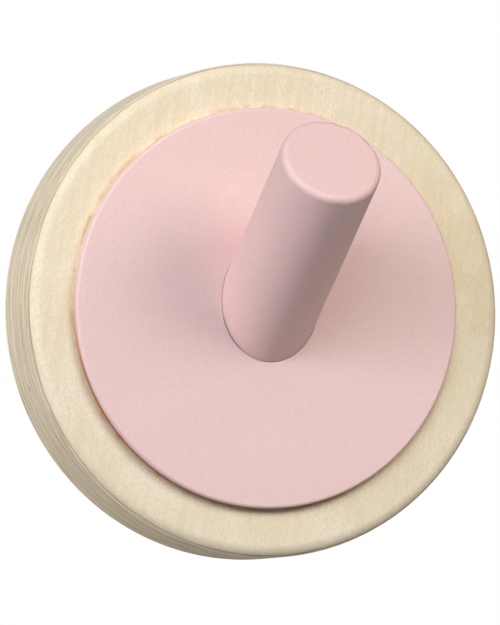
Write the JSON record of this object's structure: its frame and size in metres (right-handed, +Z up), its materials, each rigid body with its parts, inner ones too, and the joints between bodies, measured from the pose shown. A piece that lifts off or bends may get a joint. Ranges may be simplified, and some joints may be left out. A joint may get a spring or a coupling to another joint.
{
  "type": "wall hook",
  "caption": "Round plywood wall hook: a thin painted disc on its face, a painted round peg leaning upwards, and a keyhole plate let into the back.",
  "frame": {"origin": "middle of the flat back of the plywood disc, where it leans on the wall", "axes": "+Y out of the back into the wall, so the front looks along -Y; +Z up as it hangs; +X to the right seen from the front"},
  "size_m": [0.1, 0.0636, 0.1],
  "materials": {
    "birch_plywood": "satin",
    "painted_board": "satin",
    "painted_dowel": "satin",
    "zinc_screw": "satin",
    "zinc_plate": "satin"
  },
  "bodies": {
    "root": {"base_disc": "birch_plywood", "face_disc": "painted_board", "peg": "painted_dowel", "peg_screw": "zinc_screw", "keyhole_plate": "zinc_plate", "plate_screw_lower": "zinc_screw", "plate_screw_upper": "zinc_screw"}
  },
  "joints": []
}
